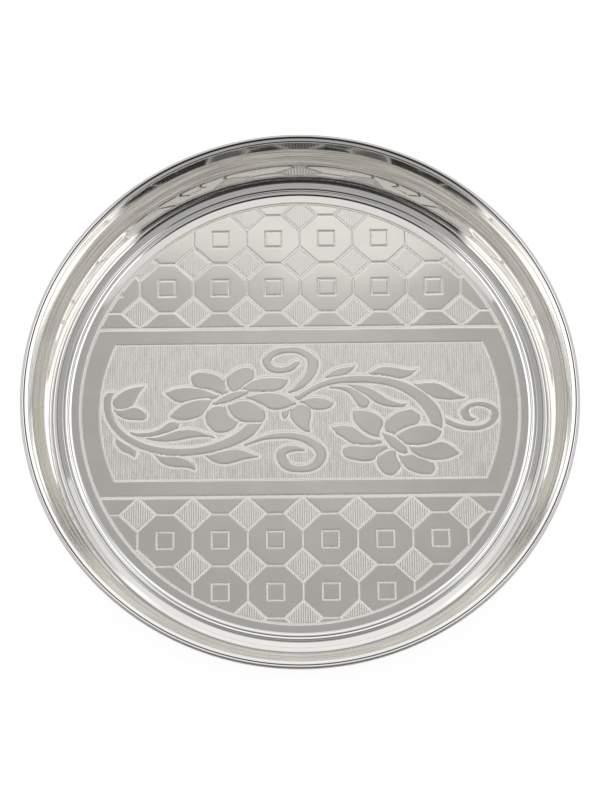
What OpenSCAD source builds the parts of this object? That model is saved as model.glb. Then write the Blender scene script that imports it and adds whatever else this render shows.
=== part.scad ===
// A puja thali: a round tray with a flat floor, a low sloping wall and a rolled rim.
// One disc of sheet metal is spun to this form and its edge is rolled over a wire.
// Sizes are in millimetres, angles in degrees. +Z is up, and the floor's underside is at z = 0.

/* [Plate] */
// Diameter over the rolled rim
plate_d = 250; // [236:1:300]
// Height over the rolled rim
plate_h = 25.4; // [24:0.2:32]
// Thickness of the sheet
sheet_t = 0.5; // [0.4:0.1:0.6]

/* [Rim] */
// Diameter of the wire inside the rim
wire_d = 1; // [0.9:0.05:1.4]
// Play between the wire and the sheet rolled over it
wire_play = 0.02; // [0.01:0.01:0.05]
// Length left open between the two ends of the wire
wire_butt = 0.5; // [0.2:0.1:2]
// Depth of the ledge below the top of the rim
ledge_drop = 0.45; // [0.25:0.05:0.6]
// Width from the wall's upper corner to the middle of the rolled rim
ledge_w = 2.35; // [2.2:0.05:4]
// Opening left between the rolled edge and the ledge
roll_open = 50; // [30:5:70]

/* [Wall] */
// Radius of the shoulder where the wall turns out to the ledge
shoulder_r = 1.1; // [0.9:0.1:1.4]
// Height of the upper turned line over the floor
upper_line_h = 18.9; // [17:0.1:20]
// Height of the lower turned line over the floor
lower_line_h = 10.4; // [8:0.1:13]
// Lean of the wall above the upper line, from upright
upper_lean = 15; // [8:1:24]
// Lean of the wall between the two lines, from upright
middle_lean = 28; // [20:1:36]
// Lean of the wall below the lower line, from upright
lower_lean = 24.5; // [18:0.5:32]
// Radius of the crease at the foot of the wall
crease_r = 0.2; // [0.1:0.05:0.6]
// Width of the shallow ring between the beads and the wall
foot_w = 3; // [2:0.5:5]
// Slope of that ring where it meets the wall
foot_slope = 12; // [4:1:18]
// Radius of the tool that cut the turned lines
line_r = 0.3; // [0.2:0.05:0.5]
// Depth of the turned lines
line_depth = 0.1; // [0.05:0.01:0.15]

/* [Floor] */
// Width of each of the two beads pressed up round the floor
bead_w = 1.6; // [1.45:0.05:2.1]
// Distance between the middles of the beads
bead_pitch = 1.8; // [1.5:0.1:3]
// Flat left between the outer bead and the ring at the wall's foot
bead_margin = 0.15; // [0.1:0.05:1]
// Rise of the beads over the floor
bead_rise = 0.33; // [0.25:0.02:0.45]

/* [Hidden] */

// Steps in each rounded corner of the sheet, in a drawn circle and in a full turn
corner_steps = 6;
circle_steps = 48;
turn_steps = 240;

// The rolled rim: radius of the sheet's middle in the roll, of its outside, and the roll's centre
roll_mid_r = wire_d / 2 + wire_play + sheet_t / 2;
roll_r = roll_mid_r + sheet_t / 2;
roll_at = [plate_d / 2 - roll_r, plate_h - roll_r];

// The sheet's upper face, from the rim inward and down
ledge_z = plate_h - ledge_drop;
ledge_end = [roll_at.x - sqrt(pow(roll_mid_r, 2) - pow(roll_mid_r - ledge_drop, 2)), ledge_z];
shoulder_at = [roll_at.x - ledge_w, ledge_z];
upper_line = below(shoulder_at, upper_lean, sheet_t + upper_line_h);
lower_line = below(upper_line, middle_lean, sheet_t + lower_line_h);
foot_r = foot_w / sin(foot_slope);
foot_rise = foot_r * (1 - cos(foot_slope));
crease = below(lower_line, lower_lean, sheet_t + foot_rise);
floor_r = crease.x - foot_w;

// The pressed beads: radius of their round tops, and how far each lies from the plate's middle
bead_r = (pow(bead_w / 2, 2) + pow(bead_rise, 2)) / (2 * bead_rise);
outer_bead_at = floor_r - bead_margin - bead_w / 2;
bead_places = [outer_bead_at, outer_bead_at - bead_pitch];

// A point at height z on the line that leans by that angle down from a point
function below(from, lean, z) = [from.x - (from.y - z) * tan(lean), z];

function unit(v) = v / norm(v);
function left_of(v) = [-v.y, v.x];
function turned(v, a) = [v.x * cos(a) - v.y * sin(a), v.x * sin(a) + v.y * cos(a)];

// The corner at b of the line a, b, c, rounded to a radius
function rounded(a, b, c, radius) =
    let (
        into = unit(b - a),
        out = unit(c - b),
        bend = atan2(into.x * out.y - into.y * out.x, into * out),
        spoke = radius * sign(bend) * left_of(into),
        centre = b - into * radius * tan(abs(bend) / 2) + spoke
    )
    [for (i = [0:corner_steps]) centre - turned(spoke, bend * i / corner_steps)];

// The shallow ring's face, a round hollow that starts level at the floor's edge
function foot_arc() =
    [for (i = [0:corner_steps])
        let (a = foot_slope * i / corner_steps)
        [floor_r + foot_r * sin(a), sheet_t + foot_r * (1 - cos(a))]];

// The sheet's other face, one thickness to the right of a line of points
function other_face(p) =
    let (last = len(p) - 1)
    [for (i = [0:last])
        let (
            before = left_of(unit(p[max(i, 1)] - p[max(i, 1) - 1])),
            after = left_of(unit(p[min(i, last - 1) + 1] - p[min(i, last - 1)])),
            middle = unit(before + after)
        )
        p[i] - middle * sheet_t / (middle * before)];

// Upper face of the whole sheet, from the middle of the floor to the rolled rim
function upper_face() =
    let (ring = foot_arc())
    concat(
        [[0, sheet_t]],
        [for (i = [0:corner_steps - 1]) ring[i]],
        rounded(ring[corner_steps - 1], crease, lower_line, crease_r),
        [lower_line, upper_line],
        rounded(upper_line, shoulder_at, ledge_end, shoulder_r),
        [ledge_end]
    );

module sheet_section() {
    face = upper_face();
    back = other_face(face);
    last = len(back) - 1;
    polygon(concat(face, [for (i = [0:last]) back[last - i]]));
}

// The edge of the sheet, rolled outward and down round the wire, with its end left free
module roll_section() {
    ledge_angle = 180 - asin((roll_mid_r - ledge_drop - sheet_t / 2) / roll_r);
    translate(roll_at) difference() {
        circle(r = roll_r, $fn = circle_steps);
        circle(r = roll_r - sheet_t, $fn = circle_steps);
        polygon(concat([[0, 0]], [for (share = [0, 1 / 2, 1])
            2 * roll_r * turned([1, 0], ledge_angle + roll_open * share)]));
    }
}

// Turns a section drawn on the +X side into a full ring
module turned_ring() {
    rotate_extrude($fn = turn_steps) children();
}

module bead_top(r) {
    turned_ring() translate([r, 0]) intersection() {
        translate([0, sheet_t + bead_rise - bead_r]) circle(r = bead_r, $fn = circle_steps);
        translate([-bead_w / 2, sheet_t / 2]) square([bead_w, sheet_t + bead_rise]);
    }
}

module bead_back(r) {
    turned_ring() translate([r, sheet_t + bead_rise - bead_r])
        circle(r = bead_r - sheet_t, $fn = circle_steps);
}

// A line turned into the wall's face at a point of it, where the wall leans by that angle
module wall_line(at, lean) {
    turned_ring() translate(at + (line_r - line_depth) * [-cos(lean), sin(lean)])
        circle(r = line_r, $fn = circle_steps);
}

module dish() {
    color("gainsboro") difference() {
        union() {
            turned_ring() sheet_section();
            turned_ring() roll_section();
            for (r = bead_places) bead_top(r);
        }
        for (r = bead_places) bead_back(r);
        wall_line(lower_line, middle_lean);
        wall_line(upper_line, upper_lean);
    }
}

module rim_wire() {
    butt_angle = wire_butt / roll_at.x * 180 / PI;
    color("silver") rotate([0, 0, butt_angle / 2])
        rotate_extrude(angle = 360 - butt_angle, $fn = turn_steps)
            translate(roll_at) circle(d = wire_d, $fn = circle_steps);
}

dish();
rim_wire();
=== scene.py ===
# A puja thali: a round tray spun from one disc of bright white metal, with a low wall in three
# courses, a rim rolled over a wire, two beads round its floor and an engraved floor.
# Lengths are in millimetres and each mesh is scaled to metres where it is made. +Z is up.
import bpy
import numpy as np
from mathutils import Matrix, Vector


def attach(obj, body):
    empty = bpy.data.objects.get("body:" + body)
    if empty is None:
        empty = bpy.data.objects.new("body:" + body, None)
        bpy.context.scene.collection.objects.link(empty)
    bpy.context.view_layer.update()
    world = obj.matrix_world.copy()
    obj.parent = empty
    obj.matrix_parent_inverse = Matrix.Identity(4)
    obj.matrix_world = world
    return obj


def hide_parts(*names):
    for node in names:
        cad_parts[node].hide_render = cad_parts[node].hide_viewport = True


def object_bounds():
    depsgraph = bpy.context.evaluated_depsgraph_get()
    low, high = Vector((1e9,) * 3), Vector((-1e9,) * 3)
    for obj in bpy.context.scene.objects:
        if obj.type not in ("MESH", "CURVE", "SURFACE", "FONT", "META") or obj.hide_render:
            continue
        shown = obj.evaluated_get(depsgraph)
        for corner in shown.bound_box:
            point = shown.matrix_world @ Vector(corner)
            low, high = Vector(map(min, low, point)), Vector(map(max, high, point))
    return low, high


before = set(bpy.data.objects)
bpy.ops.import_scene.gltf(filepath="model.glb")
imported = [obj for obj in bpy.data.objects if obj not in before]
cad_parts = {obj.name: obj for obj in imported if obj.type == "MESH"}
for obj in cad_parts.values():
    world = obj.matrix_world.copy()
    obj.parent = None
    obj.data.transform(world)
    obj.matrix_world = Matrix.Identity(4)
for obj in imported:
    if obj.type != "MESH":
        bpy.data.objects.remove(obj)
cad_low, cad_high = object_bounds()
MM = 0.001

# The camera looks down at the tray from the near side, as a person at a table would, with a
# long lens well above it. The picture is upright.
CAMERA_TILT = np.radians(72.683)
CAMERA_AWAY = 987.3
CAMERA_AIM = Vector((0, 3.64, 0.5))
CAMERA_REACH = 100000
SENSOR = 36
LENS_IN_PIXELS = 2157.9
PICTURE_WIDTH = 600
PICTURE_HEIGHT = 800

camera_data = bpy.data.cameras.new("camera")
camera_data.sensor_fit = "VERTICAL"
camera_data.sensor_height = SENSOR
camera_data.lens = SENSOR * LENS_IN_PIXELS / PICTURE_HEIGHT
camera_data.clip_end = CAMERA_REACH * MM
camera = bpy.data.objects.new("camera", camera_data)
bpy.context.scene.collection.objects.link(camera)
look = Vector((0, np.cos(CAMERA_TILT), -np.sin(CAMERA_TILT)))
facing = look.to_track_quat("-Z", "Y").to_matrix().to_4x4()
camera.matrix_world = Matrix.Translation((CAMERA_AIM - look * CAMERA_AWAY) * MM) @ facing
bpy.context.scene.camera = camera
bpy.context.scene.view_settings.view_transform = "Standard"


# The light of a plain studio: a grey ceiling with a lamp, white walls at the far side and both
# sides, the unlit room behind the camera, two dark far corners, and low pale cards round the
# table. A pair of numbers is where an edge begins and ends along one axis of a unit direction.
RIPPLE_SCALE = 5.0
CEILING = 0.42
LAMP = 0.13
LAMP_FAR = 0.305
LAMP_R = 0.115
FAR_CEILING = 0.39
SEAM_FAR = 0.3505
SEAM_EDGE = (-0.003, 0.004)
SEAM_RIPPLE = 0.02
SEAM_SHIFT = 0.0085
SEAM_SHIFT_AT = 0.022
SEAM_SHIFT_EDGE = (0.025, 0.042)
FAR_WALL = 1.1
FAR_WALL_EDGE = (0.38, 0.56)
FAR_WALL_RIPPLE = 0.1
SIDE_WALL = 1.5
SIDE_WALL_EDGE = (0.3, 0.42)
SIDE_WALL_RIPPLE = 0.04
UNLIT = 0.02
UNLIT_ABOVE = (0.03, 0.05)
UNLIT_EDGE = (0.18, 0.28)
UNLIT_RIPPLE = 0.06
UNLIT_UP = (0.38, 0.46)
UNLIT_DEEP = (0.75, 0.9)
UNLIT_SIDE = (0.5, 0.75)
UNLIT_SET_BACK = 0.3
CARD = 0.68
FAR_CARD = 0.8
FAR_CARD_EDGE = (0.2, 0.6)
CARD_HEIGHT = 0.335
CARD_BOW = 0.11044
CARD_BOW_FROM = -0.944
CARD_FAR_RISE = 0.54
CARD_FAR_FROM = 0.45
CARD_SIDE_RISE = 0.05
CARD_RIPPLE = 0.02
CARD_SOFT = (0.01, 0.04)
CARD_SOFT_EDGE = (-0.6, -0.1)
GAP_FAR = ((0.66, 0.72), (0.82, 0.86))
GAP_SIDE = (0.4, 0.5)
UNDER_CARD_UP = (0.155, 0.175)
UNDER_CARD_NEAR = (0.3, 0.4)
CORNER_WALL = 0.04
CORNER_SLANT = 0.94
CORNER_HALF = (0.1, 0.2)
CORNER_FAR = (0.5, 0.58)
CORNER_UP = ((0.55, 0.6), (0.7, 0.78))


class Shade:
    """One output of a shader node. Sums on it add Math nodes, and node() adds any other node."""

    def __init__(self, socket):
        self.socket = socket

    def node(self, kind, settings=(), inputs=(), output=0):
        """A new node: its type, its settings as a dict, its inputs by name or place."""
        made = self.socket.id_data.nodes.new("ShaderNode" + kind)
        for name, value in dict(settings).items():
            setattr(made, name, value)
        for name, value in dict(inputs).items():
            if isinstance(value, Shade):
                self.socket.id_data.links.new(value.socket, made.inputs[name])
            else:
                made.inputs[name].default_value = value
        return Shade(made.outputs[output])

    def math(self, operation, *others):
        """A Math node on this value and up to two others."""
        return self.node("Math", {"operation": operation}, enumerate((self, *others)))

    def __add__(self, other):
        return self.math("ADD", other)

    def __sub__(self, other):
        return self.math("SUBTRACT", other)

    def __rsub__(self, other):
        return self.math("MULTIPLY_ADD", -1.0, other)

    def __mul__(self, other):
        return self.math("MULTIPLY", other)

    __radd__ = __add__
    __rmul__ = __mul__

    def __truediv__(self, other):
        return self.math("DIVIDE", other)

    def __neg__(self):
        return self.math("MULTIPLY", -1.0)

    def __abs__(self):
        return self.math("ABSOLUTE")

    def above(self, floor):
        """How far this value is above another, and 0 below it."""
        return (self - floor).math("MAXIMUM", 0.0)

    def step(self, low, high):
        """Rises smoothly from 0 where this value is low to 1 where it is high."""
        return self.node("MapRange", {"interpolation_type": "SMOOTHSTEP"},
                         {"Value": self, "From Min": low, "From Max": high})

    def fade(self, low, high):
        """Falls smoothly from 1 where this value is low to 0 where it is high."""
        return self.step(high, low)

    def within(self, rise, fall):
        """1 between two soft edges: rises over the first pair of values, falls over the second."""
        return self.step(*rise) * self.fade(*fall)

    def mix(self, low, high):
        """A number: low where this value is 0 and high where it is 1."""
        return self.node("Mix", {}, {"Factor": self, 2: low, 3: high})

    def colours(self, low, high):
        """A colour: low where this value is 0 and high where it is 1."""
        return self.node("Mix", {"data_type": "RGBA"}, {"Factor": self, 6: low, 7: high}, 2)

    def parts(self):
        """The x, y and z of this vector."""
        split = self.node("SeparateXYZ", {}, {"Vector": self}).socket.node
        return [Shade(output) for output in split.outputs]

    def noise(self, scale, detail=1.0):
        """Soft noise over this place, between -0.5 and 0.5."""
        return self.node("TexNoise", {}, {"Vector": self, "Scale": scale, "Detail": detail}) - 0.5

    def link(self, socket):
        """Feeds this value to a shader's socket."""
        self.socket.id_data.links.new(self.socket, socket)


world = bpy.data.worlds.new("studio")
bpy.context.scene.world = world
world.use_nodes = True
sky = world.node_tree.nodes["Background"]
sky.inputs["Color"].default_value = (1, 1, 1, 1)
direction = Shade(world.node_tree.nodes.new("ShaderNodeTexCoord").outputs["Generated"])
ripple = direction.noise(RIPPLE_SCALE)
to_side, to_far, up = direction.parts()
aside, to_near = abs(to_side), -to_far

# The ceiling, its lamp, its paler part past the seam, and the white walls.
from_lamp = to_far - LAMP_FAR
lamp = (to_side * to_side + from_lamp * from_lamp).math("SQRT").fade(0.0, LAMP_R)
glow = CEILING + LAMP * lamp
seam = abs(to_side - SEAM_SHIFT_AT).step(*SEAM_SHIFT_EDGE) * SEAM_SHIFT + SEAM_FAR
glow = glow + FAR_CEILING * (to_far - seam + SEAM_RIPPLE * ripple).step(*SEAM_EDGE)
glow = (to_far + FAR_WALL_RIPPLE * ripple).step(*FAR_WALL_EDGE).mix(glow, FAR_WALL)
glow = (aside + SIDE_WALL_RIPPLE * ripple).step(*SIDE_WALL_EDGE).mix(glow, SIDE_WALL)

# The unlit room behind the camera, a little paler above.
unlit = to_near.step(*UNLIT_DEEP).mix(*UNLIT_ABOVE)
unlit = up.step(*UNLIT_UP).mix(UNLIT, unlit)
behind = to_near + UNLIT_RIPPLE * ripple - UNLIT_SET_BACK * aside.step(*UNLIT_SIDE)
glow = behind.step(*UNLIT_EDGE).mix(glow, unlit)

# The cards round the table, with a gap at the far side and the unlit room under the near one.
bow = to_far.above(CARD_BOW_FROM)
card_top = CARD_HEIGHT + CARD_BOW * (bow * bow) + CARD_SIDE_RISE * aside
card_top = card_top + CARD_FAR_RISE * to_far.above(CARD_FAR_FROM)
soft = to_far.step(*CARD_SOFT_EDGE).mix(*CARD_SOFT)
below = ((card_top - up + CARD_RIPPLE * ripple) / soft).step(-1.0, 1.0)
below = below * (1 - to_far.within(*GAP_FAR) * aside.fade(*GAP_SIDE))
glow = below.mix(glow, to_far.step(*FAR_CARD_EDGE).mix(CARD, FAR_CARD))
under_card = up.fade(*UNDER_CARD_UP) * to_near.step(*UNDER_CARD_NEAR)
glow = under_card.mix(glow, UNLIT)

# The dark far corners, and the white background that the camera alone sees.
corner = abs(aside - CORNER_SLANT * to_far).fade(*CORNER_HALF)
corner = corner * to_far.step(*CORNER_FAR) * up.within(*CORNER_UP)
glow = corner.mix(glow, CORNER_WALL)
seen = Shade(world.node_tree.nodes.new("ShaderNodeLightPath").outputs["Is Camera Ray"])
seen.mix(glow, 1.0).link(sky.inputs["Strength"])

# The table the tray stands on: plain white, wide enough to fill every view. Where it is seen,
# by the camera or in a mirror, it also glows, so that shadows on it stay light.
TABLE_HALF = 20000.0
TABLE_DROP = 0.05
TABLE_WHITE = 0.8
SHADOW_SHARE = 0.3

corners = np.array([(-1, -1), (1, -1), (1, 1), (-1, 1)]) * TABLE_HALF * MM
table_mesh = bpy.data.meshes.new("table")
table_mesh.from_pydata([(x, y, -TABLE_DROP * MM) for x, y in corners], [], [(0, 1, 2, 3)])
table = bpy.data.objects.new("table", table_mesh)
bpy.context.scene.collection.objects.link(table)
table_paint = bpy.data.materials.new("table")
table_paint.use_nodes = True
paint = table_paint.node_tree
paint.nodes.remove(paint.nodes["Principled BSDF"])
rays = paint.nodes.new("ShaderNodeLightPath").outputs
seen = Shade(rays["Is Camera Ray"]).math("MAXIMUM", Shade(rays["Is Glossy Ray"]))
seen = seen.math("MAXIMUM", Shade(rays["Is Transmission Ray"]))
lit = seen.node("BsdfDiffuse", {}, {"Color": (TABLE_WHITE,) * 3 + (1,)})
shaded = seen.node("BsdfDiffuse", {}, {"Color": (SHADOW_SHARE,) * 3 + (1,)})
white = seen.node("Emission", {}, {"Strength": 1 - SHADOW_SHARE / 2})
shown = seen.node("AddShader", {}, {0: shaded, 1: white})
surface = seen.node("MixShader", {}, {0: seen, 1: lit, 2: shown})
surface.link(paint.nodes["Material Output"].inputs["Surface"])
table_mesh.materials.append(table_paint)


# The wall, beads and rim. The sheet is spun over a former in one go: a plain ring, two beads, a
# shallow ring, three courses parted by turned lines, a rounded shoulder, a narrow ledge and the
# edge rolled over its wire. The profile runs out over the top face and back below.
PLATE_R = cad_high[0] / MM
PLATE_H = cad_high[2] / MM
SHEET = 0.5
JOIN_R = 102.6
RING_FROM = 100.95
RING_FALL = 0.0175
BEADS = [(104.4, 0.44), (104.6, 0.49), (104.85, 0.63), (105.15, 0.76), (105.45, 0.84),
         (105.75, 0.87), (106.1, 0.81), (106.4, 0.74), (106.7, 0.82), (107.0, 0.92),
         (107.25, 0.93), (107.5, 0.84), (107.8, 0.7), (108.1, 0.56), (108.4, 0.49),
         (108.7, 0.46)]
BEADS_BACK = [(104.5, 0.5), (105.2, 0.66), (105.9, 0.7), (107.1, 0.73), (107.7, 0.62),
              (108.7, 0.46)]
FOOT_HEIGHT = 0.85
FOOT_R = 0.3
LOWER_LINE = (115.58, 10.9)
LOWER_LEANS = (23.9, 24.3)
UPPER_LINE = (120.10, 19.4)
SWELL = 0.035
SWELL_WAVES = 2.2
SHOULDER = (121.24, 24.5)
SHOULDER_R = 1.0
LEDGE = (123.12, 25.05)
ROLL_R = 1.02
ROLL_AT = (PLATE_R - ROLL_R, PLATE_H - ROLL_R)
ROLL_OUTSIDE = (148, -142)
ROLL_INSIDE = (-142, 140)
LINE_R = 0.3
LINE_DEPTH = 0.1
WALL_TURNS = 432


def ring_fall(radius):
    """How far the plain ring falls away at a radius: its slope times the way past its start."""
    return RING_FALL * np.maximum(radius - RING_FROM, 0)


def arc(centre, radius, first, last, steps):
    """Points on a circle from one angle to another, in degrees."""
    a = np.radians(np.linspace(first, last, steps + 1))
    return np.stack([centre[0] + radius * np.cos(a), centre[1] + radius * np.sin(a)], -1)


def eased(before, corner, after, radius, steps):
    """The corner of a line rounded to a radius: a round arc that meets both sides."""
    before, corner, after = (np.array(p, float) for p in (before, corner, after))
    into = (corner - before) / np.linalg.norm(corner - before)
    out = (after - corner) / np.linalg.norm(after - corner)
    bend = np.arctan2(into[0] * out[1] - into[1] * out[0], into @ out)
    spoke = radius * np.sign(bend) * np.array([-into[1], into[0]])
    centre = corner - into * radius * np.tan(abs(bend) / 2) + spoke
    a = bend * np.linspace(0, 1, steps + 1)[:, None]
    return centre - (spoke * np.cos(a) + np.array([-spoke[1], spoke[0]]) * np.sin(a))


def leaning(end, foot_height, leans, steps):
    """A course up to a point from a height below it. Its lean holds the first value over the
    lower quarter and then passes evenly to the second."""
    s = np.linspace(0, 1, steps + 1)
    rise = end[1] - foot_height
    slope = np.tan(np.radians(np.interp(s, (0.25, 1), leans)))
    out = np.concatenate([[0], np.cumsum((slope[1:] + slope[:-1]) / 2 * np.diff(s))])
    return np.stack([end[0] - (out[-1] - out) * rise, foot_height + s * rise], -1)


def swelled(start, end, height, waves, steps):
    """A straight course with a few shallow swells round it, left by the spinning tool: a sine
    wave square to the line, fading to nothing over a sixth of it at both ends."""
    start, end = np.array(start, float), np.array(end, float)
    s = np.linspace(0, 1, steps + 1)[:, None]
    step = end - start
    inward = np.array([-step[1], step[0]]) / np.linalg.norm(step)
    fade = np.minimum(1, 6 * np.minimum(s, 1 - s))
    return start + step * s + inward * height * fade * np.sin(2 * np.pi * waves * s)


def turned_line(at, toward, steps=6):
    """A round groove cut into a straight wall at a point, along the wall's own direction."""
    along = np.array(toward, float) - at
    along /= np.linalg.norm(along)
    inward = np.array([along[1], -along[0]])
    half = np.sqrt(LINE_R ** 2 - (LINE_R - LINE_DEPTH) ** 2)
    s = np.linspace(-half, half, steps + 1)[:, None]
    depth = np.sqrt(LINE_R ** 2 - s ** 2) - (LINE_R - LINE_DEPTH)
    return np.array(at) + along * s + inward * depth


def blended(points, start_way, end_way, ends, steps):
    """Cubic curves between pairs of points, each with its direction at both of its ends."""
    s = np.linspace(0, 1, steps, endpoint=False)[None, :, None]
    points, start_way, ends, end_way = (v[:, None] for v in (points, start_way, ends, end_way))
    return ((2 * s ** 3 - 3 * s ** 2 + 1) * points + (s ** 3 - 2 * s ** 2 + s) * start_way
            + (3 * s ** 2 - 2 * s ** 3) * ends + (s ** 3 - s ** 2) * end_way)


def ridge(points, steps):
    """A smooth line through points: between two of them a cubic whose slope at each end is the
    mean slope of the steps beside it. It starts level."""
    points = np.array(points, float)
    step = np.diff(points, axis=0)
    way = np.concatenate([step[:1] * (1, 0), (step[1:] + step[:-1]) / 2, step[-1:]])
    line = blended(points[:-1], way[:-1], way[1:], points[1:], steps)
    return np.concatenate([line.reshape(-1, 2), points[-1:]])


def offset_face(points, distance):
    """Points moved square to the line through them, to its right."""
    way = np.gradient(points, axis=0)
    way /= np.linalg.norm(way, axis=1)[:, None]
    return points + distance * np.stack([way[:, 1], -way[:, 0]], -1)


def held(points, near=0.15):
    """The same line with a point close to each end of every long step, so that it shades flat."""
    step = np.diff(points, axis=0)
    length = np.linalg.norm(step, axis=1)[:, None]
    close = step / length * near
    held_line = np.stack([points[:-1], points[:-1] + close, points[1:] - close], 1)
    keep = np.stack([length > 0, length > 6 * near, length > 6 * near], 1)[:, :, 0]
    return np.concatenate([held_line[keep], points[-1:]])


def piece(name, points, faces, material, angle=30):
    """A new object from points in millimetres, smooth but for edges sharper than the angle."""
    mesh = bpy.data.meshes.new(name)
    mesh.from_pydata((np.asarray(points) * MM).tolist(), [], faces)
    mesh.polygons.foreach_set("use_smooth", np.ones(len(mesh.polygons), bool))
    mesh.set_sharp_from_angle(angle=np.radians(angle))
    mesh.materials.append(material)
    made = bpy.data.objects.new(name, mesh)
    bpy.context.scene.collection.objects.link(made)
    return made


def turned(name, profile, steps, material):
    """A closed profile of radius and height, carried once round the upright axis."""
    a = np.linspace(0, 2 * np.pi, steps, endpoint=False)[:, None]
    r, z = profile[:, 0][None], profile[:, 1][None]
    points = np.stack([r * np.cos(a), r * np.sin(a), z + 0 * a], -1).reshape(-1, 3)
    here = np.arange(len(points)).reshape(steps, -1)
    beside = np.roll(here, -1, 1)
    quads = np.stack([here, beside, np.roll(beside, -1, 0), np.roll(here, -1, 0)], -1)
    return piece(name, points, quads.reshape(-1, 4).tolist(), material)


def bright_metal(name):
    """A material of bare metal, with its shader."""
    material = bpy.data.materials.new(name)
    material.use_nodes = True
    shader = material.node_tree.nodes["Principled BSDF"]
    shader.inputs["Metallic"].default_value = 1.0
    return material, shader


def place_on(shader):
    """Where a point of a shader's surface lies on the tray, in millimetres."""
    place = Shade(shader.id_data.nodes.new("ShaderNodeTexCoord").outputs["Object"])
    return place.node("VectorMath", {"operation": "SCALE"}, {0: place, "Scale": 1 / MM})


# The wall's metal is polished but for the middle course, which the turning tool left brushed,
# and the worn edge of the roll. Shade is painted dark into the creases at the foot and at the
# roll.
WHITE_METAL = (0.86, 0.85, 0.83, 1)
BRUSHED = ((0.52, 0.495, 0.46, 1), (0.77, 0.755, 0.72, 1))
WORN = (0.6, 0.59, 0.57, 1)
CREASE_SHADE = (0.12, 0.115, 0.11, 1)
POLISHED_ROUGH = 0.035
BRUSHED_ROUGH = 0.15
UPPER_ROUGH = 0.06
WORN_ROUGH = 0.3
MIDDLE_COURSE = ((10.6, 11.2), (18.9, 19.5))
UPPER_COURSE = (19.3, 19.8)
WORN_FROM = (123.9, 124.3)
FOOT_CREASE = (110.98, 0.18)
FOOT_SHADE_UP = (2, 3)
FOOT_SHADE_FAR = (-70, -40)
ROLL_CREASE = (123.12, 0.42)
ROLL_SHADE_UP = (23.5, 24.5)
MARKS_PER_MM = 1.9
MARKS_ALONG_PER_MM = 0.04
MARK_DEPTH = 0.04
DENTS_PER_MM = 0.06
DENT_DEPTH = 0.3
RELIEF_SHARE = 0.25
MARK_SHARES = (0.15, 1.0)
MARK_TONES = (-0.15, 0.15)
CREASE_CORE = 0.4

spun_metal, shader = bright_metal("spun_metal")
place = place_on(shader)
across, away, height = place.parts()
radius = (across * across + away * away).math("SQRT")
rings = place.node("CombineXYZ", {}, {0: radius * MARKS_PER_MM, 1: height * MARKS_PER_MM,
                                      2: across * MARKS_ALONG_PER_MM})
turning = rings.noise(1.0, 2.0)
course = height.within(*MIDDLE_COURSE)
marks = place.node("Bump", {}, {"Height": turning * course.mix(*MARK_SHARES),
                                "Strength": RELIEF_SHARE, "Distance": MARK_DEPTH * MM})
dents = place.node("Bump", {}, {"Height": place.noise(DENTS_PER_MM), "Strength": RELIEF_SHARE,
                                "Distance": DENT_DEPTH * MM, "Normal": marks})
dents.link(shader.inputs["Normal"])


def crease(at, half):
    """How much painted shade darkens a turned crease at a radius: full in its middle, none past
    its half width."""
    return abs(radius - at).fade(half * CREASE_CORE, half)


# Painted shade: the creases at the foot, except its near part, and at the roll are coloured dark.
crease_shade = crease(*FOOT_CREASE) * height.fade(*FOOT_SHADE_UP) * away.step(*FOOT_SHADE_FAR)
crease_shade = crease_shade + crease(*ROLL_CREASE) * height.step(*ROLL_SHADE_UP)
worn = radius.step(*WORN_FROM)
metal = course.colours(WHITE_METAL, turning.step(*MARK_TONES).colours(*BRUSHED))
metal = crease_shade.colours(worn.colours(metal, WORN), CREASE_SHADE)
metal.link(shader.inputs["Base Color"])
rough = course.mix(POLISHED_ROUGH, BRUSHED_ROUGH)
rough = rough + height.step(*UPPER_COURSE) * UPPER_ROUGH + worn * WORN_ROUGH
rough.link(shader.inputs["Roughness"])

# On the upper face the turned lines take the place of the middle course's first and last rows.
# The underside has straight courses and no lines.
lower_course = leaning(LOWER_LINE, FOOT_HEIGHT, LOWER_LEANS, steps=14)
foot_face = eased(BEADS[-1], lower_course[0], lower_course[4], FOOT_R, steps=8)
lower_course = lower_course[lower_course[:, 1] > foot_face[-1, 1]]
middle_course = swelled(LOWER_LINE, UPPER_LINE, SWELL, SWELL_WAVES, steps=26)
shoulder = eased(UPPER_LINE, SHOULDER, LEDGE, SHOULDER_R, steps=10)
upper = np.concatenate([
    [(JOIN_R, SHEET - ring_fall(JOIN_R))], ridge(BEADS, steps=4), foot_face, lower_course[:-1],
    turned_line(LOWER_LINE, UPPER_LINE), middle_course[2:-2],
    turned_line(UPPER_LINE, SHOULDER), shoulder, [LEDGE]])
lower = offset_face(np.concatenate([
    [(JOIN_R, SHEET)], ridge(BEADS_BACK, steps=2), foot_face[::2],
    [LOWER_LINE, UPPER_LINE], shoulder, [LEDGE]]), SHEET)
roll_out = arc(ROLL_AT, ROLL_R, *ROLL_OUTSIDE, steps=30)
roll_in = arc(ROLL_AT, ROLL_R - SHEET, *ROLL_INSIDE, steps=12)
wall_profile = held(np.concatenate([upper, roll_out, roll_in, lower[::-1]]))
spun_wall = turned("spun_wall", wall_profile, WALL_TURNS, spun_metal)
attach(spun_wall, "root")
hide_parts("dish")


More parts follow.
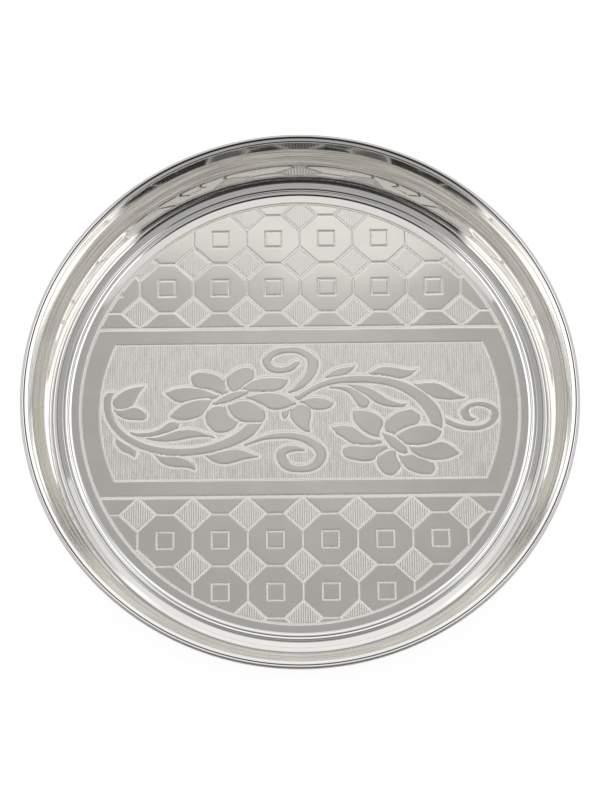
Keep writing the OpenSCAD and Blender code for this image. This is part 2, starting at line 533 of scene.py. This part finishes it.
# The floor inside the beads: one flat polished sheet, engraved by hand with a lining tool. It is
# drawn as three strips of the one sheet, each a solid 0.5 mm thick. The pattern's own frame
# has x along the band and y across it, and lies a little turned and off the tray's middle.
PATTERN_TURN = np.radians(0.61)
PATTERN_DROP = 1.46
BORDER_R = 100.3
BORDER_W = 1.2
BORDER_STROKES = 420
STROKE_LEAN = 0.9
STROKE_HALF = (0.08, 0.3)
STROKE_WHITE = (0.6, 0.9)
ROPE_EDGE = (-0.1, 0.14)
ROPE_SHAKE = 0.25
BAND_Y = 40.27
BAND_W = 1.4
CUT_DEPTH = 0.06
CUT_SHOULDER = 0.22
HATCH_PITCH = 1.04
POLISHED = ((0.865, 0.84, 0.785, 1), (0.9, 0.87, 0.81, 1))
FRESH_CUT = (0.91, 0.9, 0.865, 1)
FLOOR_ROUGH = (0.08, 0.5)
FLOOR_METALLIC = (1.0, 0.5)
COARSE_PER_MM = 0.9
FINE_PER_MM = 2.6
PATCHES_PER_MM = 0.06
PATCH_EDGE = (-0.12, 0.12)
TOP_FACE = (0.2, 0.3)
CUT_SOFT = (-0.12, 0.12)
AREA_SOFT = (-0.1, 0.1)
WALL_DEPTH = 0.14
WALL_EDGE = (-0.26, 0.02)


def least(a, b):
    """The smaller of two values, as arrays or as shader values."""
    return a.math("MINIMUM", b) if isinstance(a, Shade) else np.minimum(a, b)


def most(a, b):
    """The larger of two values, as arrays or as shader values."""
    return a.math("MAXIMUM", b) if isinstance(a, Shade) else np.maximum(a, b)


def root(a):
    """The square root of an array or a shader value."""
    return a.math("SQRT") if isinstance(a, Shade) else np.sqrt(a)


def to_nearest(a, step):
    """Distance to the nearest multiple of a step."""
    if isinstance(a, Shade):
        return a.math("PINGPONG", step / 2)
    return np.abs(a - step * np.round(a / step))


def to_pattern(x, y):
    """A place on the tray in the pattern's frame: turned about the tray's middle and shifted."""
    c, s = float(np.cos(PATTERN_TURN)), float(np.sin(PATTERN_TURN))
    y = y + PATTERN_DROP
    return x * c + y * s, y * c - x * s


def past_border(x, y):
    """Signed distance beyond the middle of the round border line, negative on the field inside."""
    return root(x * x + y * y) - BORDER_R


def border_line(past):
    """Signed distance to the round border line, negative in its cut."""
    return abs(past) - BORDER_W / 2


def band_lines(y):
    """Signed distance to the two straight lines along the band, in the pattern's frame."""
    return abs(abs(y) - BAND_Y) - BAND_W / 2


def rounded_cut(distance):
    """Depth of a cut by its signed distance: level beyond its shoulder, full depth inside."""
    share = np.clip(0.5 - distance / (2 * CUT_SHOULDER), 0, 1)
    return CUT_DEPTH * share * share * (3 - 2 * share)


def floor_height(cuts, past):
    """Height of the floor's face: the sheet less its cuts, its border and the ring's fall."""
    cuts = np.minimum(cuts, border_line(past))
    return SHEET - rounded_cut(cuts) - ring_fall(past + BORDER_R)


def strip(name, rows, columns, height, material):
    """Part of the round floor between two straight cuts: every row spans the circle's chord.
    The top is a grid, the flat underside one face, and the rim of the strip is square."""
    half = np.sqrt(np.maximum(JOIN_R ** 2 - rows ** 2, 0))[:, None]
    x = half * np.linspace(-1, 1, columns)[None]
    y = rows[:, None] + 0 * x
    top = np.stack([x, y, height(x, y)], -1).reshape(-1, 3)
    here = np.arange(x.size).reshape(x.shape)
    quads = np.stack([here[:-1, :-1], here[:-1, 1:], here[1:, 1:], here[1:, :-1]], -1)
    edge = np.concatenate([here[0, :-1], here[:-1, -1], here[-1, :0:-1], here[:0:-1, 0]])
    below = x.size + np.arange(len(edge))
    sides = np.stack([edge, below, np.roll(below, -1), np.roll(edge, -1)], -1)
    points = np.concatenate([top, top[edge] * (1, 1, 0)])
    faces = quads.reshape(-1, 4).tolist() + sides.tolist() + [below[::-1].tolist()]
    made = piece(name, points, faces, material, 60)
    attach(made, "root")
    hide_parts("dish")
    return made, points


def engraved_metal(name):
    """Bright metal to be cut: its shader, how far a point is on the top face, its place in the
    pattern, its distance past the border line, a coarse and a fine noise, and how white the
    border's line is, whose strokes lean like a rope's."""
    material, shader = bright_metal(name)
    place = place_on(shader)
    x, y, height = place.parts()
    coarse, fine = place.noise(COARSE_PER_MM, 2.0), place.noise(FINE_PER_MM)
    past = past_border(x, y)
    turn = y.math("ARCTAN2", x) * (BORDER_STROKES / (2 * np.pi))
    strokes = to_nearest(turn + past * STROKE_LEAN, 1.0).step(*STROKE_HALF)
    rope = (border_line(past) + fine * ROPE_SHAKE).fade(*ROPE_EDGE) * strokes.mix(*STROKE_WHITE)
    return (material, shader, height.step(*TOP_FACE)), to_pattern(x, y), past, coarse, fine, rope


def cut_finish(metal, white, walls, fine):
    """Gives a metal its cut areas, on the top face alone: white is how much of the surface the
    tool has broken up, walls the signed distance to the cuts' edges, negative in a cut, and fine
    a relief in millimetres. Broad patches change the polished colour a little."""
    material, shader, top = metal
    patches = place_on(shader).noise(PATCHES_PER_MM).step(*PATCH_EDGE)
    white = white * top
    white.colours(patches.colours(*POLISHED), FRESH_CUT).link(shader.inputs["Base Color"])
    white.mix(*FLOOR_ROUGH).link(shader.inputs["Roughness"])
    white.mix(*FLOOR_METALLIC).link(shader.inputs["Metallic"])
    height = (walls.fade(*WALL_EDGE) * -WALL_DEPTH + fine) * top
    relief = white.node("Bump", {}, {"Height": height, "Strength": 1.0, "Distance": MM})
    relief.link(shader.inputs["Normal"])


# The lattice on the far and near parts of the floor: octagons with a small square in each, and
# upright hatched diamonds in the gaps between them. Rows start half a diamond from the band.
CELL_X = 24.752
CELL_Y = 23.92
LATTICE_SIDE = 0.73
FIRST_ROW = 60.18
DIAMOND = (9.0, 8.5)
DIAMOND_LINE = 1.2
LINK_W = 0.75
SQUARE_HALF = 3.8
SQUARE_W = 0.65
LAST_SQUARE = (49.5, 72.1)
HATCH_HALF = (0.18, 0.3)
HATCH_SHAKE = 0.15
HATCH_WHITE = 0.8
HATCH_WANDER = 0.6
LINE_WANDER = (0.3, 0.35)
LINE_INSET = 0.1
PATCHY_GRAIN = (1.6, 0.5)
PATCHY_EDGE = (-0.35, 0.35)
PATCHY_WHITE = (0.6, 1.0)
LINE_RELIEF = (0.02, 0.02)
FAR_WHITE = 0.7
FAR_WHITE_EDGE = (10.0, 90.0)
FAR_CUT = 34.6
NEAR_CUT = -37.6
LATTICE_ROWS = 190
LATTICE_COLUMNS = 500


def lattice(x, y):
    """Signed distances in the pattern's frame, negative inside: to the lattice's cut lines, and
    to the hatched middle of the nearest diamond, from the distances to the cell's corner."""
    a = to_nearest(x - LATTICE_SIDE, CELL_X)
    b = to_nearest(abs(y) - (FIRST_ROW - CELL_Y / 2), CELL_Y)
    edge = (a * DIAMOND[1] + b * DIAMOND[0] - DIAMOND[0] * DIAMOND[1]) / float(np.hypot(*DIAMOND))
    links = most(least(a, b) - LINK_W / 2, -edge)
    outline = abs(edge + DIAMOND_LINE / 2) - DIAMOND_LINE / 2
    square = abs(most(CELL_X / 2 - a, CELL_Y / 2 - b) - SQUARE_HALF) - SQUARE_W / 2
    square = most(square, least(abs(x) - LAST_SQUARE[0], abs(y) - LAST_SQUARE[1]))
    return least(least(links, outline), square), edge + DIAMOND_LINE


def lattice_cuts(x, y, past):
    """Signed distances in the pattern's frame, kept within the round border: to the lattice's
    lines outside the band and the band's own two lines, and to the hatched middles."""
    lines, hatched = lattice(x, y)
    field = most(BAND_Y - abs(y), past)
    return least(most(lines, field), most(band_lines(y), past)), most(hatched, field)


def lattice_height(x, y):
    """Height of the floor's face outside the band, by all that is cut there."""
    past = past_border(x, y)
    return floor_height(lattice_cuts(*to_pattern(x, y), past)[0], past)


metal, (x, y), past, coarse, fine, rope = engraved_metal("lattice_metal")
cuts, hatched = lattice_cuts(x, y, past)
wander = coarse * LINE_WANDER[0] + fine * LINE_WANDER[1]
cut = (cuts + LINE_INSET + wander).fade(*CUT_SOFT)
hatch = (to_nearest(x + coarse * HATCH_SHAKE, HATCH_PITCH) + fine * HATCH_SHAKE).step(*HATCH_HALF)
hatch = (1 - hatch) * (hatched + wander * HATCH_WANDER).fade(*AREA_SOFT)
white = most(most(cut, hatch * HATCH_WHITE), rope)
patchy = (fine * PATCHY_GRAIN[0] + PATCHY_GRAIN[1]).step(*PATCHY_EDGE)
white = white * patchy.mix(*PATCHY_WHITE)
white = white * y.step(*FAR_WHITE_EDGE).mix(1.0, FAR_WHITE)
relief = (fine * LINE_RELIEF[0] - LINE_RELIEF[1]) * white
cut_finish(metal, white, least(cuts, border_line(past)), relief)

# Rows stand closest at the tray's edge, where the circle's chord shortens fastest.
spread = np.linspace(0, 1, LATTICE_ROWS)
spread = (8 * spread - spread ** 8) / 7
far_rows = FAR_CUT + (JOIN_R - FAR_CUT) * spread
near_rows = (NEAR_CUT + (-JOIN_R - NEAR_CUT) * spread)[::-1]
strip("far_lattice", far_rows, LATTICE_COLUMNS, lattice_height, metal[0])
strip("near_lattice", near_rows, LATTICE_COLUMNS, lattice_height, metal[0])

# The band across the middle: a plain polished strip round a sunk panel, whose matt ground is
# lined from far to near. The lotus spray stands level with the strip, with a bright wriggled
# line cut round each petal, leaf and stem.
PANEL_HALF = (91.6, 32.67)
PANEL_SIDE_R = 78.0
PANEL_LINE = 0.8
PANEL_ROWS = 186
PANEL_COLUMNS = 520
HALO = (0.85, 1.55)
HALO_WANDER = 1.7
ISLAND_GROWTH = 0.25
LINING_HALF = (0.14, 0.4)
LINING_WHITE = (0.78, 0.22)
LINING_SHAKE = (0.3, 0.4)
STREAKS_PER_MM = (0.8, 0.12)
STREAK_EDGE = (-0.22, 0.18)
STREAK_WHITE = (0.55, 1.0)
GROUND_WANDER = (0.3, 0.4)
GROUND_INSET = 0.12
GROUND_SHAKE = 0.15
GROUND_GRAIN = 0.55
GROUND_RELIEF = (0.03, 0.015)

# Enlarged parts of the picture: left and top in its pixels, and enlargement.
LEFT = (98, 338, 1462 / 138)
MIDDLE = (226, 338, 1462 / 138)
RIGHT = (354, 338, 1462 / 138)
FEATHERS = (322, 375, 1568 / 90)
FLOWER = (345, 400, 1568 / 105)
TIP = (432, 388, 1568 / 76)
CORNER = 1


def picked(part, *points):
    """Points given on an enlarged part of the picture, as places in the pattern's frame:
    where the camera's line of sight through each meets the floor, on which the camera's aim lies.
    A third value, a corner's mark or a half width, is scaled with them."""
    left, top, enlargement = part
    level, drop = float(np.cos(CAMERA_TILT)), float(np.sin(CAMERA_TILT))
    per_mm = enlargement * LENS_IN_PIXELS / CAMERA_AWAY
    places = []
    for across, down, *extra in points:
        side = (left + across / enlargement - PICTURE_WIDTH / 2) / LENS_IN_PIXELS
        rise = (PICTURE_HEIGHT / 2 - top - down / enlargement) / LENS_IN_PIXELS
        reach = CAMERA_AWAY * drop / (drop - rise * level)
        far = CAMERA_AIM.y - CAMERA_AWAY * level + reach * (level + rise * drop)
        places.append((*to_pattern(reach * side, far), *(value / per_mm for value in extra)))
    return places


# Each outline of the spray, closed and smooth but at its corners, and the two scrolls.
SPRAY = {
    "bud_leaf": picked(
        LEFT, (497, 505, CORNER), (400, 515), (300, 542), (222, 592), (172, 650), (158, 695),
        (178, 728), (225, 742), (275, 742), (330, 724), (378, 688), (410, 630), (440, 575)),
    "bud_sepal": picked(
        LEFT, (163, 752, CORNER), (215, 760), (275, 757), (330, 740), (378, 730), (430, 740),
        (478, 768), (507, 805), (508, 840), (480, 858), (400, 858), (330, 855), (265, 838),
        (210, 805)),
    "left_stem": picked(
        LEFT, (105, 572, CORNER), (178, 576, CORNER), (148, 622), (135, 690), (140, 760),
        (158, 830), (200, 908), (262, 977), (335, 1033), (425, 1080), (520, 1120), (620, 1146),
        (740, 1161), (920, 1166), (1100, 1146), (1300, 1084))
    + picked(
        MIDDLE, (130, 990), (235, 903, CORNER), (385, 900, CORNER), (298, 1010), (160, 1095))
    + picked(
        LEFT, (1290, 1180), (1060, 1226), (820, 1237), (590, 1206), (370, 1126), (190, 1000),
        (92, 850), (70, 760), (65, 680), (78, 615)),
    "thorn": picked(
        LEFT, (205, 1062, CORNER), (295, 1120), (350, 1150), (388, 1185), (402, 1215),
        (390, 1255, CORNER), (345, 1225), (245, 1180), (210, 1145), (190, 1105), (190, 1080)),
    "low_leaf": picked(
        LEFT, (600, 1232, CORNER), (680, 1250), (850, 1258), (920, 1276), (975, 1305),
        (1010, 1345), (1028, 1392, CORNER), (980, 1372), (900, 1360), (810, 1357), (735, 1342),
        (680, 1315), (638, 1280)),
    "long_leaf": picked(
        LEFT, (1142, 1245, CORNER), (1220, 1225), (1310, 1198), (1400, 1180))
    + picked(
        MIDDLE, (130, 1175), (200, 1190), (340, 1252, CORNER), (180, 1280), (100, 1305),
        (0, 1325))
    + picked(
        LEFT, (1290, 1322), (1230, 1302), (1180, 1272)),
    "upper_tendril": picked(
        LEFT, (345, 1000, CORNER), (500, 998), (585, 985), (660, 955), (778, 882), (825, 886),
        (855, 908), (852, 935), (825, 955), (700, 1000), (600, 1025), (500, 1037), (420, 1033)),
    "lower_tendril": picked(
        LEFT, (512, 1060, CORNER), (600, 1050), (690, 1030), (850, 975), (930, 966),
        (1020, 970), (1110, 995), (1232, 1052, CORNER), (1180, 1038), (1110, 1036),
        (1020, 1042), (820, 1078), (720, 1087), (620, 1080)),
    "left_petal_1": picked(
        LEFT, (1040, 365), (1110, 356), (1190, 366), (1260, 390), (1312, 422), (1337, 455),
        (1337, 495), (1352, 535), (1380, 570, CORNER), (1325, 590, CORNER), (1260, 567),
        (1190, 540), (1050, 516), (1012, 492), (994, 452), (994, 410), (1010, 380)),
    "left_petal_2": picked(
        MIDDLE, (12, 470), (12, 425), (42, 380), (92, 342), (150, 316), (210, 305), (252, 307),
        (278, 330), (290, 380), (284, 432), (240, 457), (150, 530), (120, 553, CORNER),
        (62, 557), (30, 522)),
    "left_petal_3": picked(
        LEFT, (712, 580, CORNER), (770, 551), (850, 529), (930, 521), (1020, 526), (1110, 541),
        (1283, 605, CORNER), (1238, 631), (1160, 629), (1080, 634), (940, 661), (885, 674),
        (830, 664), (770, 628)),
    "left_petal_4": picked(
        LEFT, (765, 828, CORNER), (800, 782), (850, 736), (910, 696), (980, 670), (1060, 653),
        (1140, 648), (1208, 656, CORNER), (1150, 745), (1118, 787), (1075, 820), (1015, 842),
        (950, 857), (880, 861), (820, 848)),
    "left_petal_5": picked(
        LEFT, (1212, 695, CORNER), (1260, 657), (1320, 617))
    + picked(
        MIDDLE, (60, 574), (130, 560), (258, 550, CORNER), (218, 582), (110, 634))
    + picked(
        LEFT, (1350, 677), (1280, 690)),
    "left_petal_6": picked(
        LEFT, (1290, 713), (1345, 720, CORNER), (1352, 762), (1382, 808), (1430, 846),
        (1484, 885, CORNER), (1456, 930), (1406, 966), (1360, 986), (1305, 993), (1240, 982),
        (1190, 945), (1155, 897), (1144, 845), (1156, 790), (1195, 742), (1245, 717)),
    "left_petal_7": picked(
        MIDDLE, (25, 708, CORNER), (80, 682), (150, 662), (230, 661), (300, 684), (360, 724),
        (400, 774), (413, 825), (408, 855), (385, 881, CORNER), (220, 882), (150, 868),
        (90, 830), (50, 785), (26, 742)),
    "left_petal_8": picked(
        MIDDLE, (215, 625, CORNER), (350, 583), (440, 575), (530, 579), (610, 600),
        (738, 690, CORNER), (610, 736), (540, 749), (480, 745), (380, 690), (320, 661)),
    "left_petal_9": picked(
        MIDDLE, (180, 530, CORNER), (230, 482), (300, 441), (380, 420), (460, 413), (550, 415),
        (620, 424), (648, 440), (640, 478), (600, 522), (540, 545), (370, 555), (227, 548)),
    "calyx_tip": picked(
        MIDDLE, (605, 775), (645, 755), (692, 744, CORNER), (662, 790), (650, 825), (612, 845),
        (596, 815)),
    "round_bud": picked(
        MIDDLE, (795, 697), (850, 714), (885, 755), (896, 810), (878, 930), (890, 990, CORNER),
        (830, 972), (770, 935), (718, 885), (688, 840), (684, 800), (700, 755), (742, 714)),
    "middle_sepal": picked(
        MIDDLE, (785, 668, CORNER), (850, 641), (920, 627), (990, 628), (1060, 641),
        (1110, 664), (1135, 692), (1110, 722), (1060, 743), (990, 751), (920, 745), (830, 686)),
    "right_stem": picked(
        MIDDLE, (728, 620, CORNER), (770, 651, CORNER), (950, 543), (1050, 502), (1150, 476),
        (1350, 462))
    + picked(
        RIGHT, (200, 469), (330, 486), (440, 520), (540, 568), (620, 622), (700, 702),
        (797, 845), (820, 893, CORNER), (932, 945, CORNER), (935, 870), (915, 790), (870, 705),
        (800, 622), (700, 545), (600, 488), (500, 450), (400, 424), (200, 395))
    + picked(
        MIDDLE, (1340, 393), (1200, 406), (1100, 425), (1000, 460), (820, 560)),
    "top_leaf": picked(
        MIDDLE, (1060, 413, CORNER), (1085, 375), (1130, 341), (1200, 316), (1365, 288, CORNER),
        (1340, 330), (1290, 365), (1230, 390), (1150, 403)),
    "wave_leaf": picked(
        RIGHT, (155, 374, CORNER), (205, 335), (270, 303), (350, 294), (430, 304), (600, 332),
        (672, 327, CORNER), (590, 390), (530, 412), (460, 416), (380, 396), (290, 380)),
    "right_leaf": picked(
        RIGHT, (635, 482, CORNER), (780, 467), (860, 470), (930, 490), (1000, 530),
        (1175, 625, CORNER), (1100, 636), (1020, 643), (940, 636), (860, 624), (790, 590),
        (710, 533)),
    "upper_feather": picked(
        FEATHERS, (455, 155, CORNER), (560, 152), (680, 166), (880, 240), (1180, 418),
        (1290, 460), (1480, 495, CORNER), (1430, 530), (1330, 541), (1220, 540), (1100, 520),
        (1000, 490), (920, 448), (790, 350), (600, 242)),
    "lower_feather": picked(
        FEATHERS, (130, 210, CORNER), (220, 190), (320, 183), (410, 186), (560, 242),
        (720, 340), (780, 390), (815, 440), (822, 490), (792, 535), (735, 551), (680, 542),
        (640, 520), (500, 332), (430, 275), (350, 238)),
    "right_petal_1": picked(
        FLOWER, (150, 145, CORNER), (250, 141), (350, 158), (440, 190), (520, 248), (560, 308),
        (562, 360), (512, 465, CORNER), (505, 500), (512, 537, CORNER), (430, 520), (350, 490),
        (270, 440), (195, 372), (143, 308), (124, 250), (128, 195)),
    "right_petal_2": picked(
        FLOWER, (990, 125, CORNER), (900, 140), (800, 166), (720, 210), (652, 270), (612, 340),
        (600, 400), (612, 452, CORNER), (745, 502, CORNER), (790, 460), (860, 416), (930, 387),
        (1078, 342), (1110, 308), (1118, 260), (1098, 208), (1050, 163)),
    "right_petal_3": picked(
        FLOWER, (775, 530, CORNER), (830, 476), (900, 436), (980, 402), (1070, 379),
        (1170, 369), (1270, 376), (1360, 402), (1442, 463, CORNER), (1425, 512), (1388, 560),
        (1330, 600), (1250, 630), (1150, 648), (1050, 656), (960, 651), (900, 634), (835, 585)),
    "right_petal_4": picked(
        FLOWER, (962, 690, CORNER), (1150, 690), (1250, 666), (1350, 631), (1430, 615))
    + picked(
        RIGHT, (960, 1100), (1040, 1145), (1115, 1215, CORNER), (1050, 1250), (970, 1272))
    + picked(
        FLOWER, (1360, 878), (1250, 867), (1150, 842), (1065, 800), (990, 742)),
    "right_petal_5": picked(
        FLOWER, (558, 478, CORNER), (720, 537), (800, 598), (870, 663), (918, 728),
        (932, 778, CORNER), (870, 779), (800, 756), (730, 712), (660, 650), (600, 575)),
    "right_petal_6": picked(
        MIDDLE, (1118, 945, CORNER), (1180, 925), (1260, 921))
    + picked(
        FLOWER, (90, 385), (195, 450), (262, 502), (345, 548), (430, 575), (520, 592),
        (548, 625, CORNER), (450, 645), (350, 652), (250, 647), (70, 615))
    + picked(
        MIDDLE, (1250, 1050), (1180, 1008)),
    "right_petal_7": picked(
        FLOWER, (100, 676), (320, 691), (430, 686), (592, 664, CORNER), (640, 705, CORNER),
        (520, 780), (472, 830), (440, 874), (380, 891), (280, 897), (180, 887), (80, 866))
    + picked(
        MIDDLE, (1270, 1250), (1243, 1215), (1255, 1170), (1289, 1141)),
    "right_petal_8": picked(
        FLOWER, (690, 738), (620, 760), (552, 802), (502, 860), (482, 920), (498, 980),
        (540, 1040), (600, 1088), (660, 1108), (730, 1100), (790, 1052), (826, 995), (822, 955),
        (790, 915), (766, 870), (757, 815), (748, 765)),
    "right_petal_9": picked(
        FLOWER, (800, 808, CORNER), (870, 823), (1000, 806), (1080, 845), (1260, 907),
        (1318, 945), (1338, 1000), (1330, 1060), (1290, 1088), (1200, 1092), (1100, 1079),
        (1000, 1046), (920, 1000), (862, 940), (825, 875)),
    "right_scroll": picked(
        TIP, (275, 597, CORNER), (520, 708), (780, 761), (1020, 745), (1115, 700), (1185, 635),
        (1225, 565), (1235, 490), (1200, 430), (1130, 385), (1040, 358), (950, 348), (870, 358),
        (800, 390), (757, 440), (752, 500), (790, 560), (905, 630, CORNER), (800, 660),
        (715, 643), (640, 602), (604, 540), (600, 470), (640, 400), (720, 330), (820, 286),
        (930, 268), (1040, 266), (1230, 322), (1310, 382), (1358, 460), (1372, 547),
        (1340, 640), (1265, 720), (1150, 788), (1030, 830), (900, 852), (780, 852), (520, 808),
        (285, 708, CORNER)),
}
SCROLLS = [
    picked(
        MIDDLE, (668, 568, 6), (740, 528, 25), (800, 480, 40), (862, 420, 46), (908, 345, 50),
        (924, 270, 50), (897, 203, 44), (844, 158, 37), (765, 122, 36), (660, 119, 31),
        (560, 132, 34), (480, 170, 38), (434, 235, 41), (455, 290, 41), (515, 325, 35),
        (590, 331, 31), (660, 318, 33), (712, 288, 34), (745, 262, 30)),
    picked(
        MIDDLE, (200, 1130, 4), (300, 1087, 13), (400, 1052, 20), (500, 1033, 27),
        (620, 1026, 31), (720, 1031, 34), (820, 1054, 38), (905, 1097, 42), (968, 1150, 46),
        (1010, 1215, 48), (1000, 1282, 48), (950, 1335, 44), (870, 1372, 36), (770, 1379, 33),
        (680, 1365, 37), (615, 1320, 45), (585, 1255, 46), (605, 1200, 42), (665, 1168, 36),
        (735, 1162, 28), (790, 1170, 16), (826, 1185, 4)),
]


def closed_curve(outline, steps=6):
    """A smooth closed curve through an outline's points, broken only at its corners."""
    points = np.array([p[:2] for p in outline], float)
    sharp = np.array([len(p) > 2 for p in outline])[:, None]
    before = points - np.roll(points, 1, 0)
    after = np.roll(before, -1, 0)
    short, long = (np.linalg.norm(v, axis=1)[:, None] for v in (before, after))
    way = (before / short * long + after / long * short) / (short + long)
    leaving = np.where(sharp, after, way * long)
    coming = np.where(sharp, before, way * short)
    curve = blended(points, leaving, np.roll(coming, -1, 0), np.roll(points, -1, 0), steps)
    return curve.reshape(-1, 2)


def near_box(curve, x, y, margin):
    """Which places lie within a margin of a curve's own box."""
    low, high = curve[:, :2].min(0) - margin, curve[:, :2].max(0) + margin
    return (x > low[0]) & (x < high[0]) & (y > low[1]) & (y < high[1])


def to_steps(start, end, x, y):
    """Distance from each place to each straight step, and how far along the step it falls."""
    step = end - start
    from_x, from_y = x[:, None] - start[:, 0], y[:, None] - start[:, 1]
    share = np.clip((from_x * step[:, 0] + from_y * step[:, 1]) / (step ** 2).sum(1), 0, 1)
    return np.hypot(from_x - share * step[:, 0], from_y - share * step[:, 1]), share


def inside_outline(curve, x, y):
    """Signed distance to a closed curve, positive inside, where a ray crosses it an odd number
    of times."""
    start, end = curve, np.roll(curve, -1, 0)
    away = to_steps(start, end, x, y)[0].min(1)
    spans = (start[:, 1] > y[:, None]) != (end[:, 1] > y[:, None])
    rise = np.where(end[:, 1] == start[:, 1], 1, end[:, 1] - start[:, 1])
    slope = (end[:, 0] - start[:, 0]) / rise
    crosses = spans & (x[:, None] < start[:, 0] + (y[:, None] - start[:, 1]) * slope)
    return np.where(crosses.sum(1) % 2 == 1, away, -away)


def inside_scroll(line, x, y, steps=6):
    """Signed distance to a scroll, positive inside: its half width less the distance to its
    middle line, a smooth curve through points that each carry a half width."""
    points = np.array(line)
    way = np.gradient(points, axis=0)
    curve = blended(points[:-1], way[:-1], way[1:], points[1:], steps).reshape(-1, 3)
    curve = np.concatenate([curve, points[-1:]])
    away, share = to_steps(curve[:-1, :2], curve[1:, :2], x, y)
    return (curve[:-1, 2] + share * np.diff(curve[:, 2]) - away).max(1)


def spray_distance(x, y, reach=4.0):
    """Signed distance to the whole spray in the pattern's frame, positive on its islands and
    no less than the reach below zero elsewhere."""
    found = np.full(x.shape, -reach)
    shapes = [(closed_curve(outline), inside_outline) for outline in SPRAY.values()]
    shapes += [(np.array(line), inside_scroll) for line in SCROLLS]
    for curve, distance in shapes:
        near = near_box(curve, x, y, reach)
        found[near] = np.maximum(found[near], distance(curve, x[near], y[near]))
    return found


def panel_edge(x, y):
    """Signed distance to the panel's edge, negative inside: two straight sides and two arcs."""
    bow = PANEL_SIDE_R - PANEL_HALF[0]
    ends = root((abs(x) + bow) * (abs(x) + bow) + y * y) - PANEL_SIDE_R
    return most(abs(y) - PANEL_HALF[1], ends)


def panel_height(x, y):
    """Height of the floor's face in the band, by the sunk ground of the panel and the border."""
    across, up = to_pattern(x, y)
    ground = np.maximum(panel_edge(across, up), spray_distance(across, up))
    return floor_height(ground, past_border(x, y))


metal, (x, y), past, coarse, fine, rope = engraved_metal("panel_metal")
island = coarse.node("Attribute", {"attribute_name": "island"}, {}, 2) + ISLAND_GROWTH
inside = panel_edge(x, y)
wander = coarse * GROUND_WANDER[0] + fine * GROUND_WANDER[1]
walls = most(inside, island)
ground = (walls + GROUND_INSET + fine * GROUND_SHAKE).fade(*AREA_SOFT)
halo = (wander * HALO_WANDER - island).fade(*HALO)
edge_line = (abs(inside + PANEL_LINE / 2) - PANEL_LINE / 2 + wander).fade(*CUT_SOFT)
streak = coarse.node("CombineXYZ", {}, {0: x * STREAKS_PER_MM[0], 1: y * STREAKS_PER_MM[1]})
streaks = streak.noise(1.0, 2.0).step(*STREAK_EDGE).mix(*STREAK_WHITE)
lining = to_nearest(x + coarse * LINING_SHAKE[0], HATCH_PITCH) + fine * LINING_SHAKE[1]
matt = lining.step(*LINING_HALF).mix(*LINING_WHITE) * streaks + fine * GROUND_GRAIN
white = most(most(ground * most(halo, matt), edge_line * ground), rope)
relief = (fine * GROUND_RELIEF[0] - GROUND_RELIEF[1]) * white
cut_finish(metal, white, least(walls, border_line(past)), relief)

panel_rows = np.linspace(NEAR_CUT, FAR_CUT, PANEL_ROWS)
panel, points = strip("vine_panel", panel_rows, PANEL_COLUMNS, panel_height, metal[0])
island = panel.data.attributes.new("island", "FLOAT", "POINT")
island.data.foreach_set("value", spray_distance(*to_pattern(points[:, 0], points[:, 1])))


# The wire inside the rolled rim, a bright drawn wire that shows only in the gap below. It keeps
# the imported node's own mesh.
WIRE_METAL = (0.62, 0.61, 0.59, 1)
WIRE_ROUGH = 0.3

wire_metal, shader = bright_metal("wire_metal")
shader.inputs["Base Color"].default_value = WIRE_METAL
shader.inputs["Roughness"].default_value = WIRE_ROUGH
rim_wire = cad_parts["rim_wire"]
rim_wire.data.materials.clear()
rim_wire.data.materials.append(wire_metal)

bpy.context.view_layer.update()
